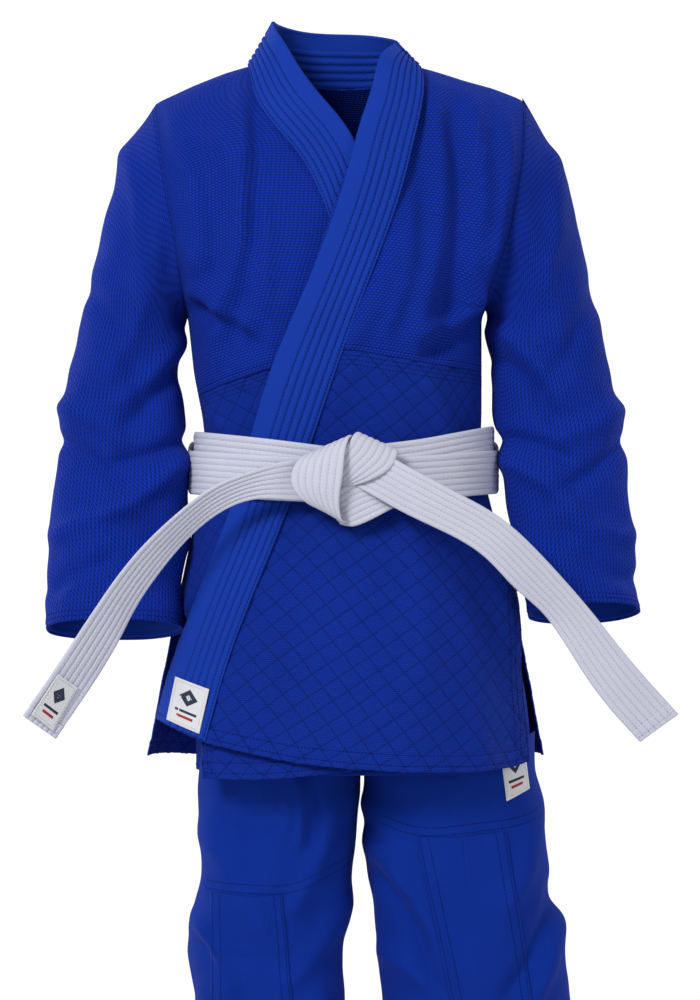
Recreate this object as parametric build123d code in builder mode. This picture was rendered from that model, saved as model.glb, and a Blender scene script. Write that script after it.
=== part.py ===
from build123d import *
import math
import os

# A judo-type uniform as it hangs when worn: jacket, belt and trousers, without the wearer.
# Millimetres. +Z is up, the front faces -Y and the wearer's left is +X.
# The origin is the middle of the neck opening at the height of the shoulders.

CLOTH = 2.0          # jacket and trouser cloth
BAND = 3.2           # lapel and collar band
STRAP = 3.4          # belt thickness
STRAP_WIDTH = 40.0   # belt width
AIR = 0.4            # space between one layer and the next
FAR = 400.0          # reach of every cutting prism

WAIST_SEAM = -270.0
BELT_HEIGHT = -353.0
SKIRT_HEM = -627.0
CUFF_BAND = 40.0     # depth of the facing inside each cuff

KNEE = -790.0        # height of the knee joints
KNEE_BEND = 40.0     # how far each knee bends, degrees
TROUSER_TOP = -332.0
WAISTBAND = 40.0
CROTCH = -640.0
TROUSER_HEM = -1060.0
HEM_BAND = 30.0

# Every section is an ellipse: height, middle in X and Y, half width, half depth.
# Body form of the jacket.
FORM = [
    (16, -6, 0, 80, 50),
    (2, -4, 0, 132, 62),
    (-18, -3, 0, 176, 77),
    (-60, -2, 0, 196, 90),
    (-110, -1, 0, 199, 96),
    (-165, -4, 0, 178, 100),
    (-214, -7, 0, 136, 101),
    (WAIST_SEAM, -4, 0, 133, 97),
    (-310, 0, 0, 129, 92),
    (-350, 1, 0, 126, 89),
    (-385, 2, 0, 134, 94),
    (-470, 4, 0, 154, 108),
    (-550, 4, 0, 170, 119),
    (SKIRT_HEM, 4, 0, 184, 129),
]

# Body form of the trousers from the waist to the crotch.
SEAT = [
    (TROUSER_TOP, 1, 0, 118, 80),
    (-430, 6, 0, 134, 90),
    (-540, 14, 0, 150, 96),
    (CROTCH, 22, 0, 156, 96),
]

RIGHT_LEG = [
    (CROTCH - AIR, -60, 0, 74, 84),
    (-740, -64, 0, 69, 75),
    (KNEE, -70, 0, 69, 71),
    (-850, -66, 0, 69, 68),
    (-950, -72, 0, 68, 64),
    (TROUSER_HEM, -80, 0, 70, 60),
]
LEFT_LEG = [
    (CROTCH - AIR, 100, 0, 78, 84),
    (-740, 110, 0, 82, 76),
    (KNEE, 118, 0, 84, 73),
    (-850, 126, 0, 87, 70),
    (-950, 137, 0, 82, 66),
    (TROUSER_HEM, 148, 0, 78, 62),
]

# Sleeves hang and lean forward towards the cuff.
RIGHT_SLEEVE = [
    (-24, -166, 0, 16, 22),
    (-45, -166, 0, 26, 38),
    (-96, -172, 0, 38, 50),
    (-140, -178, 0, 44, 55),
    (-185, -187, 0, 47, 55),
    (-214, -193, 0, 46, 52),
    (-254, -198, -5, 49, 48),
    (-330, -203, -14, 58, 44),
    (-400, -207, -26, 57, 42),
    (-535, -214, -50, 60, 42),
]
LEFT_SLEEVE = [
    (-16, 163, 0, 15, 22),
    (-40, 164, 0, 24, 38),
    (-90, 168, 0, 34, 50),
    (-134, 174, 0, 41, 55),
    (-180, 181, 0, 47, 55),
    (-206, 186, 0, 49, 52),
    (-250, 192, -5, 52, 48),
    (-330, 203, -14, 56, 44),
    (-400, 208, -26, 55, 42),
    (-520, 222, -45, 51, 42),
]

# Front views of the seams and edges, X and Z.
RIGHT_ARMHOLE = [(-172, -22), (-160, -90), (-150, -150), (-142, -214), (-230, -216)]
LEFT_ARMHOLE = [(166, -14), (160, -80), (148, -140), (131, -206), (131, -222), (230, -224)]
LEFT_LAPEL_FREE = [(36, 21), (8, -80), (-31, -192), (-64, -269), (-100, -391), (-151, -523), (-170, -585)]
LEFT_LAPEL_SEAM = [(76, 6), (56, -100), (7, -236), (-30, -341), (-67, -444), (-100, -523), (-122, -602)]
RIGHT_LAPEL_FREE = [(-58, 30), (-29, -7), (13, -62), (44, -150), (70, -269), (92, -391), (112, -523), (120, -612)]
RIGHT_LAPEL_SEAM = [(-85, 12), (-72, -34), (-30, -88), (-4, -150), (22, -269), (42, -391), (62, -523), (70, -618)]

# How far each layer stands off the body form: towards -X, towards +X, front and back.
NEXT_TO_BODY = (0, 0, 0, 0)
RIGHT_BAND_LAYER = (2.4, 2.4, 2.4, 0)
OUTER_FRONT_LAYER = (2.8, 5.0, 6.2, 0)
LEFT_BAND_LAYER = (5.2, 7.4, 8.6, 0)
INNER_WRAP_LAYER = (8.8, 7.6, 12.4, 2.6)
OUTER_WRAP_LAYER = (12.6, 11.4, 16.2, 6.4)


def shift(layer, amount):
    return tuple(value + amount for value in layer)


def ring(station, layer):
    height, middle_x, middle_y, half_width, half_depth = station
    minus, plus, front, back = layer
    middle = (middle_x + (plus - minus) / 2, middle_y + (back - front) / 2, height)
    with BuildSketch(Plane(origin=middle)) as profile:
        Ellipse(half_width + (plus + minus) / 2, half_depth + (front + back) / 2)
    return profile.sketch


def wall(stations, layer, thickness):
    """A closed wall round the body form, open at its top and bottom."""
    loft(sections=[ring(station, shift(layer, thickness)) for station in stations], ruled=True)
    loft(sections=[ring(station, layer) for station in stations], ruled=True, mode=Mode.SUBTRACT)


def keep_front_view(outline, front=True, back=True):
    """Keep what lies inside an outline drawn in the front view, before or behind the side seams."""
    with BuildSketch(Plane.XZ) as view:
        with BuildLine():
            Polyline(*outline, close=True)
        make_face()
    if front and back:
        extrude(view.sketch, amount=FAR, both=True, mode=Mode.INTERSECT)
    else:
        extrude(view.sketch, amount=FAR if front else -FAR, mode=Mode.INTERSECT)


def keep_side_view(outline):
    """Keep what lies inside an outline drawn in the side view, Y and Z."""
    with BuildSketch(Plane.YZ) as view:
        with BuildLine():
            Polyline(*outline, close=True)
        make_face()
    extrude(view.sketch, amount=FAR, both=True, mode=Mode.INTERSECT)


def box_outline(low_x, high_x, low_z, high_z):
    return [(low_x, low_z), (high_x, low_z), (high_x, high_z), (low_x, high_z)]


def finish(piece, name):
    piece.label = name
    export_step(piece, f"parts/{name}.step")
    print(name, round(piece.volume))


os.makedirs("parts", exist_ok=True)

# Jacket, chest: two fronts that overlap and one back, joined at the shoulders and side seams.
with BuildPart() as jacket_back:
    wall(FORM, NEXT_TO_BODY, CLOTH)
    keep_front_view(
        [(-FAR, WAIST_SEAM)] + RIGHT_ARMHOLE[::-1] + [(-172, 60), (166, 60)] + LEFT_ARMHOLE + [(FAR, WAIST_SEAM)],
        front=False,
    )
finish(jacket_back.part, "jacket_back")

with BuildPart() as jacket_right_front:
    wall(FORM, NEXT_TO_BODY, CLOTH)
    keep_front_view(
        [(-FAR, WAIST_SEAM)] + RIGHT_ARMHOLE[::-1] + [(-172, 60)] + RIGHT_LAPEL_FREE[:5],
        back=False,
    )
    keep_front_view(box_outline(-FAR, FAR, WAIST_SEAM, 15))
finish(jacket_right_front.part, "jacket_right_front")

with BuildPart() as jacket_left_front:
    wall(FORM, OUTER_FRONT_LAYER, CLOTH)
    keep_front_view(
        [(FAR, WAIST_SEAM)] + LEFT_ARMHOLE[::-1] + [(166, 60)] + LEFT_LAPEL_FREE[:4],
        back=False,
    )
    keep_front_view(box_outline(-FAR, FAR, WAIST_SEAM, 15))
finish(jacket_left_front.part, "jacket_left_front")

# Linings behind both shoulders.
for side, edge, armhole in (("right", -1, RIGHT_ARMHOLE), ("left", 1, LEFT_ARMHOLE)):
    with BuildPart() as shoulder_lining:
        wall(FORM[:5], (-2.6, -2.6, -2.6, -2.6), CLOTH)
        keep_front_view([(edge * 70, 8), (armhole[0][0], 8), (armhole[0][0], -22), (edge * 158, -85), (edge * 80, -70)])
    finish(shoulder_lining.part, f"shoulder_lining_{side}")

# Jacket, skirt: three panels with an open vent at each side.
VENT_TOP = -468.0
with BuildPart() as skirt_back:
    wall(FORM, NEXT_TO_BODY, CLOTH)
    keep_front_view(box_outline(-FAR, FAR, SKIRT_HEM, WAIST_SEAM - AIR), front=False)
finish(skirt_back.part, "skirt_back")

with BuildPart() as skirt_right_front:
    wall(FORM, NEXT_TO_BODY, CLOTH)
    keep_front_view(
        [(-FAR, WAIST_SEAM), (-FAR, VENT_TOP), (-125, VENT_TOP), (-125, SKIRT_HEM)]
        + [(121, SKIRT_HEM)]
        + RIGHT_LAPEL_FREE[:3:-1],
        back=False,
    )
finish(skirt_right_front.part, "skirt_right_front")

with BuildPart() as skirt_left_front:
    wall(FORM, OUTER_FRONT_LAYER, CLOTH)
    keep_front_view(
        [(FAR, WAIST_SEAM), (FAR, VENT_TOP), (156, VENT_TOP), (170, SKIRT_HEM + 2), (90, SKIRT_HEM)]
        + [(-122, -603)]
        + LEFT_LAPEL_FREE[:2:-1],
        back=False,
    )
finish(skirt_left_front.part, "skirt_left_front")

for side, low_x, high_x in (("right", -FAR, -146), ("left", 148, FAR)):
    with BuildPart() as vent_patch:
        wall(FORM, shift(NEXT_TO_BODY, CLOTH + AIR), 1.4)
        keep_front_view(box_outline(low_x, high_x, VENT_TOP - 4, VENT_TOP + 26))
        keep_side_view([(2, -600), (40, -600), (40, -300), (2, -300)])
    finish(vent_patch.part, f"vent_patch_{side}")

# Collar: one thick band from hem to hem, here as two lapels and the stand behind the neck.
with BuildPart() as lapel_right:
    wall(FORM, RIGHT_BAND_LAYER, BAND)
    keep_front_view(RIGHT_LAPEL_FREE + RIGHT_LAPEL_SEAM[::-1], back=False)
    keep_front_view(box_outline(-FAR, FAR, SKIRT_HEM, 15))
finish(lapel_right.part, "lapel_right")

with BuildPart() as lapel_left:
    wall(FORM, LEFT_BAND_LAYER, BAND)
    keep_front_view(LEFT_LAPEL_FREE + LEFT_LAPEL_SEAM[::-1], back=False)
    keep_front_view(box_outline(-FAR, FAR, SKIRT_HEM, 15))
finish(lapel_left.part, "lapel_left")

NECK = [(18, -6, 0, 78, 52), (36, -6, 0, 66, 50), (57, -6, 0, 58, 47)]
with BuildPart() as collar_back:
    wall(NECK, NEXT_TO_BODY, BAND + 1)
    keep_side_view([(-30, 10), (60, 10), (60, 60), (-5, 60), (-30, 44)])
finish(collar_back.part, "collar_back")

# Sleeves: a cap sewn into the armhole and, below the armpit, the free tube that swings outwards
# about the cap's outer edge. The cuffs are cut square to forearms that lean forward, and a facing
# band lies inside each.
SLEEVES = {
    "right": (RIGHT_SLEEVE, RIGHT_ARMHOLE, -1, -238.0, -493.0),
    "left": (LEFT_SLEEVE, LEFT_ARMHOLE, 1, -232.0, -477.0),
}
CUFF_DROP = 23.0     # how much lower the back of a cuff is than its front
SEAM_GAP = 1.5       # from the armhole of the chest panels to the sleeve
for side, (stations, armhole, way, swing_height, cuff_front) in SLEEVES.items():
    lower_edge = [(-110, cuff_front), (20, cuff_front - CUFF_DROP)]
    upper_edge = [(y, z + CUFF_BAND) for y, z in reversed(lower_edge)]
    seam = [(x + way * SEAM_GAP, z) for x, z in armhole[:-1]]
    under_armpit = (way * 100, seam[-1][1] - 3)
    with BuildPart() as sleeve_cap:
        wall(stations, shift(NEXT_TO_BODY, -CLOTH), CLOTH)
        keep_front_view(
            [(seam[0][0], 0)] + seam + [under_armpit, (way * 100, swing_height + AIR)]
            + [(way * FAR, swing_height + AIR), (way * FAR, 0)]
        )
    finish(sleeve_cap.part, f"sleeve_cap_{side}")
    with BuildPart() as sleeve:
        wall(stations, shift(NEXT_TO_BODY, -CLOTH), CLOTH)
        keep_side_view(
            lower_edge
            + [(FAR, cuff_front - CUFF_DROP), (FAR, swing_height - AIR), (-FAR, swing_height - AIR), (-FAR, cuff_front)]
        )
    finish(sleeve.part, f"sleeve_{side}")
    with BuildPart() as cuff:
        wall(stations, shift(NEXT_TO_BODY, -2 * CLOTH - AIR), CLOTH)
        keep_side_view(lower_edge + upper_edge)
    finish(cuff.part, f"cuff_facing_{side}")

# Belt: two wraps that cross the front at a slight slope.
WRAPS = {
    "belt_inner_wrap": (INNER_WRAP_LAYER, BELT_HEIGHT - 4, 6.0),
    "belt_outer_wrap": (OUTER_WRAP_LAYER, BELT_HEIGHT - 4, -6.0),
}
for name, (layer, height, slope) in WRAPS.items():
    with BuildPart() as wrap:
        wall(FORM, layer, STRAP)
        keep_front_view([
            (-200, height - slope - STRAP_WIDTH / 2),
            (200, height + slope - STRAP_WIDTH / 2),
            (200, height + slope + STRAP_WIDTH / 2),
            (-200, height - slope + STRAP_WIDTH / 2),
        ])
    finish(wrap.part, name)

# Knot: one strand comes down over the front, the two others leave above and below it.
KNOT_BACK = -116.0
KNOT_LAYER = 12.0
STRANDS = {
    "knot_front_strand": ([(-43, -350), (0, -344), (5, -398), (-40, -390)], KNOT_BACK - KNOT_LAYER - AIR, KNOT_LAYER),
    "knot_upper_strand": ([(6, -327), (50, -341), (48, -356), (2, -372), (-38, -346)], KNOT_BACK, KNOT_LAYER),
    "knot_lower_strand": ([(2, -374), (30, -372), (46, -394), (8, -408), (-36, -384)], KNOT_BACK, KNOT_LAYER),
}
for name, (outline, back_face, depth) in STRANDS.items():
    with BuildPart() as strand:
        with BuildSketch(Plane.XZ.offset(-back_face)):
            with BuildLine():
                Polyline(*outline, close=True)
            make_face()
        extrude(amount=depth)
        fillet(strand.edges().filter_by(Axis.Y), radius=4)
        fillet(strand.faces().sort_by(Axis.Y)[0].edges(), radius=3)
    finish(strand.part, name)

# Belt tails: stiff arches from the knot outwards and down, seen from the front.
TAIL_MIDDLE = KNOT_BACK - KNOT_LAYER / 2
TAILS = {
    "belt_tail_left": (
        [(56, -352), (105, -381), (141, -401), (182, -440), (220, -483), (300, -574)],
        [(271, -601), (207, -532), (180, -488), (129, -438), (89, -414), (52, -396)],
    ),
    "belt_tail_right": (
        [(-50, -353), (-77, -359), (-108, -373), (-138, -394), (-169, -420), (-214, -478), (-284, -578)],
        [(-258, -601), (-212, -530), (-181, -484), (-148, -434), (-116, -404), (-82, -390), (-50, -389)],
    ),
}
for name, (upper_edge, lower_edge) in TAILS.items():
    with BuildPart() as tail:
        with BuildSketch(Plane.XZ.offset(-TAIL_MIDDLE - STRAP / 2)):
            with BuildLine():
                Spline(*upper_edge)
                Line(upper_edge[-1], lower_edge[0])
                Spline(*lower_edge)
                Line(lower_edge[-1], upper_edge[0])
            make_face()
        extrude(amount=STRAP)
    finish(tail.part, name)

# Labels: thin sewn patches on the left lapel and on the right tail.
LABEL = 0.7
with BuildPart() as lapel_label:
    wall(FORM, shift(LEFT_BAND_LAYER, BAND + 0.1), LABEL)
    keep_front_view([(-151, -546), (-119, -556), (-128, -596), (-159, -585)], back=False)
finish(lapel_label.part, "lapel_label")

with BuildPart() as belt_label:
    with BuildSketch(Plane.XZ.offset(-TAIL_MIDDLE + STRAP / 2 + 0.1)):
        with BuildLine():
            Polyline((-252, -541), (-235, -554), (-258, -593), (-276, -577), close=True)
        make_face()
    extrude(amount=LABEL)
finish(belt_label.part, "belt_label")

# Trousers above the crotch.
with BuildPart() as waistband:
    wall([SEAT[0], (TROUSER_TOP - WAISTBAND, 3, 0, 123, 84)], NEXT_TO_BODY, CLOTH + 1)
finish(waistband.part, "waistband")

CENTRE_SEAM = 18.0
for side, low_x, high_x in (("right", -FAR, CENTRE_SEAM - AIR / 2), ("left", CENTRE_SEAM + AIR / 2, FAR)):
    with BuildPart() as seat:
        wall(SEAT, NEXT_TO_BODY, CLOTH)
        keep_front_view(box_outline(low_x, high_x, CROTCH, TROUSER_TOP - WAISTBAND - AIR))
    finish(seat.part, f"trouser_seat_{side}")

with BuildPart() as crotch_gusset:
    with BuildSketch(Plane.XY.offset(CROTCH + 4)):
        with BuildLine():
            Polyline((CENTRE_SEAM, -88), (CENTRE_SEAM + 34, 0), (CENTRE_SEAM, 88), (CENTRE_SEAM - 34, 0), close=True)
        make_face()
    extrude(amount=CLOTH)
finish(crotch_gusset.part, "crotch_gusset")

# Trouser legs, cut at the knee so that the shin can swing back without meeting the thigh.
NOTCH = math.tan(math.radians(KNEE_BEND / 2 + 1))
LEGS = {"right": (RIGHT_LEG, -733.0), "left": (LEFT_LEG, -669.0)}
for side, (stations, patch_top) in LEGS.items():
    above = [(0, KNEE + AIR), (FAR, KNEE + AIR + FAR * NOTCH), (FAR, FAR), (-FAR, FAR), (-FAR, KNEE + AIR)]
    below = [(0, KNEE - AIR), (FAR, KNEE - AIR - FAR * NOTCH), (FAR, -2000), (-FAR, -2000), (-FAR, KNEE - AIR)]
    centre = stations[2][1]
    half_patch = stations[2][3] - 12
    for part_name, profile in (("thigh", above), ("shin", below)):
        with BuildPart() as leg:
            wall(stations, NEXT_TO_BODY, CLOTH)
            keep_side_view(profile)
        finish(leg.part, f"trouser_{part_name}_{side}")
        with BuildPart() as patch:
            wall(stations, shift(NEXT_TO_BODY, CLOTH + AIR), CLOTH)
            keep_front_view(box_outline(centre - half_patch, centre + half_patch, -935, patch_top), back=False)
            keep_side_view(profile)
        finish(patch.part, f"knee_patch_{part_name}_{side}")
    with BuildPart() as hem:
        wall(stations, shift(NEXT_TO_BODY, -CLOTH - AIR), CLOTH)
        keep_front_view(box_outline(-FAR, FAR, TROUSER_HEM, TROUSER_HEM + HEM_BAND))
    finish(hem.part, f"leg_hem_{side}")

with BuildPart() as trouser_label:
    wall(LEFT_LEG[:2], shift(NEXT_TO_BODY, CLOTH + AIR), LABEL)
    keep_front_view([(144, -641), (168, -641), (171, -650), (150, -659)], back=False)
finish(trouser_label.part, "trouser_label")
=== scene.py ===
import math
import bpy
import numpy as np
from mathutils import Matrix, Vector, kdtree, noise


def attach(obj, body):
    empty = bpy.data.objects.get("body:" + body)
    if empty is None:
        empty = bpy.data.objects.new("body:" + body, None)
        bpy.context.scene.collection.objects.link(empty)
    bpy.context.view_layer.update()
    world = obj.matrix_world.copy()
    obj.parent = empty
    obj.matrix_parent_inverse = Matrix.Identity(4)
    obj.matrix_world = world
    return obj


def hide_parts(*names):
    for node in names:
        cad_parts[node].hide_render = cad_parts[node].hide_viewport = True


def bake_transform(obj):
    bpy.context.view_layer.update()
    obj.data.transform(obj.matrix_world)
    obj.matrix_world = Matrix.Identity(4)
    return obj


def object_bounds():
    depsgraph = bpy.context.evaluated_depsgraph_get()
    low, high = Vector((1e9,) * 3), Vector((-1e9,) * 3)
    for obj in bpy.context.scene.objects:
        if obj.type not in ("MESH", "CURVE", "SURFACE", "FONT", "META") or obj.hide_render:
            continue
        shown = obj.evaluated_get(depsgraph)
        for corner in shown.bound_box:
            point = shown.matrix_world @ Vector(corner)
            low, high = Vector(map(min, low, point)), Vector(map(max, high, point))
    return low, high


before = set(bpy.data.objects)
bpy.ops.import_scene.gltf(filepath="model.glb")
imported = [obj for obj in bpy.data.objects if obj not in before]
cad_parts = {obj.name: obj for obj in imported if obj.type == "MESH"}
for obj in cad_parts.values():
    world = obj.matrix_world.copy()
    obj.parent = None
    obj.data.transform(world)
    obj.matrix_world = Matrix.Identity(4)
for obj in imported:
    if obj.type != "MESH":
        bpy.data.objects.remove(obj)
cad_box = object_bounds()

# Lengths in this script are millimetres in the CAD frame, made into metres when a mesh is written.
# +Z is up, -Y is the front and +X is the wearer's left.
MM = 0.001
CLOTH = 1.8          # jacket and trouser cloth
BAND = 3.0           # lapel and collar band
STRAP = 3.4          # belt
LABEL = 0.5

# How deep the folds stand, as a share of the heights in their tables.
CHEST_FOLDS = 1.4
SKIRT_FOLDS = 1.2
SLEEVE_FOLDS = 1.35
LEG_FOLDS = 1.4


# ---- numbers along a line

def spread(start, end, count):
    return np.linspace(start, end, count)


def ease(value):
    value = np.clip(value, 0, 1)
    return value * value * (3 - 2 * value)


def bump(value, half_width):
    return np.exp(-(value / half_width) ** 2)


def stack(x, y, z):
    return np.stack(np.broadcast_arrays(x, y, z), axis=-1).astype(float)


def smooth_table(points, blur=26.0):
    """Values at rising places, with the corners rounded over a length of blur."""
    points = sorted(points)
    step = blur / 12
    places = np.array([p[0] for p in points], float)
    fine = np.arange(places[0] - 2 * blur, places[-1] + 2 * blur, step)
    kernel = np.hanning(15)[1:-1]
    kernel /= kernel.sum()
    columns = []
    for k in range(1, len(points[0])):
        values = np.array([p[k] for p in points], float)
        start = values[0] + (fine - places[0]) * (values[1] - values[0]) / (places[1] - places[0])
        end = values[-1] + (fine - places[-1]) * (values[-1] - values[-2]) / (places[-1] - places[-2])
        line = np.where(fine > places[-1], end, np.interp(fine, places, values))
        line = np.where(fine < places[0], start, line)
        columns.append(np.convolve(np.pad(line, 6, mode="edge"), kernel, "valid"))
    if len(columns) == 1:
        return lambda place: np.interp(place, fine, columns[0])
    return lambda place: [np.interp(place, fine, column) for column in columns]


def spline(keys, count):
    """Rows of points on a natural cubic through rows of key points, evenly spaced along it."""
    keys = np.asarray(keys, float)
    flat = keys.reshape(len(keys), -1)
    steps = np.linalg.norm(np.diff(keys.reshape(len(keys), -1, 3), axis=0), axis=-1).mean(axis=1)
    places = np.concatenate([[0], np.cumsum(np.maximum(steps, 1e-6))])
    size = len(places)
    gaps = np.diff(places)
    system = np.eye(size)
    right = np.zeros((size, flat.shape[1]))
    for k in range(1, size - 1):
        system[k, k - 1:k + 2] = gaps[k - 1], 2 * (gaps[k - 1] + gaps[k]), gaps[k]
        right[k] = 6 * ((flat[k + 1] - flat[k]) / gaps[k] - (flat[k] - flat[k - 1]) / gaps[k - 1])
    bend = np.linalg.solve(system, right)
    at = spread(0, places[-1], count)
    k = np.clip(np.searchsorted(places, at, "right") - 1, 0, size - 2)
    before = (places[k + 1] - at)[:, None]
    after = (at - places[k])[:, None]
    gap = gaps[k][:, None]
    rows = (bend[k] * before ** 3 + bend[k + 1] * after ** 3) / (6 * gap)
    rows += (flat[k] / gap - bend[k] * gap / 6) * before + (flat[k + 1] / gap - bend[k + 1] * gap / 6) * after
    return rows.reshape(count, *keys.shape[1:])


def between(edges, count):
    """A grid across from the first to the second of two edge lines."""
    share = spread(0, 1, count)[None, :, None]
    return edges[:, 0][:, None] * (1 - share) + edges[:, 1][:, None] * share


# ---- cloth

def normals(points, closed):
    """Unit normals of a grid of points, whose columns may close into a ring."""
    if closed:
        wide = np.concatenate([points[:, -3:], points, points[:, :3]], axis=1)
        return normals(wide, False)[:, 3:-3]
    out = np.cross(np.gradient(points, axis=0), np.gradient(points, axis=1))
    return out / np.maximum(np.linalg.norm(out, axis=-1, keepdims=True), 1e-9)


def wobble(points, size, height, seed):
    """Soft unevenness of that size and height, the same on every run."""
    flat = points.reshape(-1, 3) / size + seed
    values = [noise.noise(p) for p in flat.tolist()]
    return height * np.array(values).reshape(points.shape[:2])


def folds(points, creases):
    """Ridges and valleys along lines in the front view: x1, z1, x2, z2, half width, height."""
    x = points[..., 0]
    z = points[..., 2]
    total = np.zeros(x.shape)
    for x1, z1, x2, z2, half_width, height in creases:
        length = math.hypot(x2 - x1, z2 - z1)
        along = ((x - x1) * (x2 - x1) + (z - z1) * (z2 - z1)) / length ** 2
        off = ((x - x1) * (z2 - z1) - (z - z1) * (x2 - x1)) / length
        bow = off + 0.06 * length * np.sin(np.clip(along, 0, 1) * math.pi)
        taper = ease(along / 0.3 + 0.6) * ease((1 - along) / 0.3 + 0.6)
        total += height * bump(bow, half_width) * taper
    return total


def cloth_coordinates(points, closed, start):
    """Millimetres across and down the cloth, for its weave. start is the edge that the rows count from."""
    if closed:
        points = np.concatenate([points, points[:, :1]], axis=1)
    across = np.linalg.norm(np.diff(points, axis=1), axis=-1)
    across = np.concatenate([np.zeros((len(points), 1)), np.cumsum(across, axis=1)], axis=1)
    across += 0 if closed else points[:, :1, 0]
    down = np.linalg.norm(np.diff(points, axis=0), axis=-1)
    down = np.concatenate([np.zeros((1, points.shape[1])), np.cumsum(down, axis=0)], axis=0)
    if start == "bottom":
        down -= down[-1]
    return np.stack([across, down], axis=-1)


class Cloth:
    """A grid of points on the outer face of a piece of cloth. away says what that face looks away from."""

    def __init__(self, points, away="body", start="top"):
        self.points = np.asarray(points, float)
        self.away = away
        self.closed = away == "ring"
        self.coordinates = cloth_coordinates(self.points, self.closed, start)

    @property
    def out(self):
        grid = normals(self.points, self.closed)
        if self.closed:
            direction = self.points - self.points.mean(axis=1, keepdims=True)
        elif self.away == "body":
            direction = self.points * (1, 1, 0)
        else:
            direction = np.array((0, -1, 0))
        return grid * np.sign(np.sum(grid * direction))

    def push(self, height):
        self.points = self.points + self.out * np.broadcast_to(height, self.points.shape[:2])[..., None]
        return self

    def line(self, row=None, column=None):
        """The points and outward directions along a row or column, given as a place from 0 to 1."""
        place = row * (self.points.shape[0] - 1) if column is None else column * (self.points.shape[1] - 1)
        low = int(place)
        share = place - low
        axis = 0 if column is None else 1
        high = min(low + 1, self.points.shape[axis] - 1)
        a, b = (np.take(self.points, k, axis) for k in (low, high))
        return a * (1 - share) + b * share, np.take(self.out, low, axis)


class Finder:
    """Finds where a point of the front view lies on a cloth's front or back face."""

    def __init__(self, cloth, front=True):
        points = cloth.points.reshape(-1, 3)
        out = cloth.out.reshape(-1, 3)
        facing = out[:, 1] < 0.05 if front else out[:, 1] > -0.05
        self.points = points[facing]
        self.out = out[facing]
        self.tree = kdtree.KDTree(len(self.points))
        for k, (x, y, z) in enumerate(self.points.tolist()):
            self.tree.insert((x, z, 0), k)
        self.tree.balance()

    def __call__(self, x, z, lift=0.0):
        """Points that height above the cloth, and the outward directions there."""
        x, z = np.broadcast_arrays(np.asarray(x, float), np.asarray(z, float))
        depths = []
        directions = []
        for place in zip(x.ravel().tolist(), z.ravel().tolist()):
            near = self.tree.find_n((*place, 0), 5)
            weights = np.array([1 / (found[2] + 0.15) for found in near])
            weights /= weights.sum()
            which = [found[1] for found in near]
            depths.append(weights @ self.points[which, 1])
            directions.append(weights @ self.out[which])
        y = np.array(depths).reshape(x.shape)
        out = np.array(directions).reshape(*x.shape, 3)
        out /= np.linalg.norm(out, axis=-1, keepdims=True)
        return stack(x, y, z) + out * lift, out


def new_object(name, vertices, faces, coordinates, material):
    mesh = bpy.data.meshes.new(name)
    mesh.from_pydata((np.asarray(vertices) * MM).tolist(), [], np.asarray(faces).tolist())
    layer = mesh.uv_layers.new(name="cloth")
    if coordinates is not None:
        layer.data.foreach_set("uv", (np.asarray(coordinates) * MM).ravel())
    mesh.materials.append(material)
    mesh.polygons.foreach_set("use_smooth", [True] * len(mesh.polygons))
    made = bpy.data.objects.new(name, mesh)
    bpy.context.scene.collection.objects.link(made)
    return made


def mesh_of(name, cloth, material, thickness):
    """A closed sheet of that thickness, whose outer face is the cloth's grid."""
    rows, columns = cloth.points.shape[:2]
    count = rows * columns
    outer = cloth.points.reshape(-1, 3)
    inner = outer - cloth.out.reshape(-1, 3) * thickness
    index = np.arange(count).reshape(rows, columns)
    if cloth.closed:
        index = np.concatenate([index, index[:, :1]], axis=1)
    uv = cloth.coordinates

    def quads(grid):
        corners = [grid[:-1, :-1], grid[1:, :-1], grid[1:, 1:], grid[:-1, 1:]]
        return np.stack(corners, axis=2).reshape(-1, 4, *grid.shape[2:])

    faces = [quads(index), quads(index + count)[:, ::-1]]
    places = [quads(uv), quads(uv)[:, ::-1]]
    edges = [(index[0, ::-1], uv[0, ::-1]), (index[-1], uv[-1])]
    if not cloth.closed:
        edges += [(index[:, 0], uv[:, 0]), (index[::-1, -1], uv[::-1, -1])]
    for line, at in edges:
        a, b = line[:-1], line[1:]
        faces.append(np.stack([a, a + count, b + count, b], axis=1))
        places.append(np.stack([at[:-1], at[:-1], at[1:], at[1:]], axis=1))
    faces = np.concatenate(faces)
    places = np.concatenate(places)
    if np.sum(normals(cloth.points, cloth.closed) * cloth.out) < 0:
        faces = faces[:, ::-1]
        places = places[:, ::-1]
    return new_object(name, np.concatenate([outer, inner]), faces, places, material)


# ---- stitches

STITCH = 3.4         # from one stitch to the next
STITCH_GAP = 1.1
THREAD = 0.32        # radius of a stitch


def stitch(path, out, radius=THREAD, pitch=STITCH, lift=0.12):
    """Stitches along a path, as rows of start, end and outward direction, then radius."""
    steps = np.linalg.norm(np.diff(path, axis=0), axis=-1)
    along = np.concatenate([[0], np.cumsum(steps)])
    starts = np.arange(STITCH_GAP / 2, along[-1] - pitch, pitch)

    def at(places, line):
        return np.stack([np.interp(places, along, line[:, k]) for k in range(3)], axis=-1)

    n = at(starts, out)
    first = at(starts, path) + n * lift
    last = at(starts + pitch - STITCH_GAP, path) + n * lift
    return np.concatenate([first, last, n, np.full((len(starts), 1), radius)], axis=1)


def stitch_line(finder, points, aside=0.0, radius=THREAD):
    """Stitches along a smooth line of the front view, moved aside square to it."""
    line = spline([[(x, 0, z)] for x, z in points], 120)[:, 0]
    way = np.gradient(line, axis=0)
    way /= np.linalg.norm(way, axis=-1, keepdims=True)
    x = line[:, 0] - way[:, 2] * aside
    z = line[:, 2] + way[:, 0] * aside
    return stitch(*finder(x, z), radius)


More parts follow.
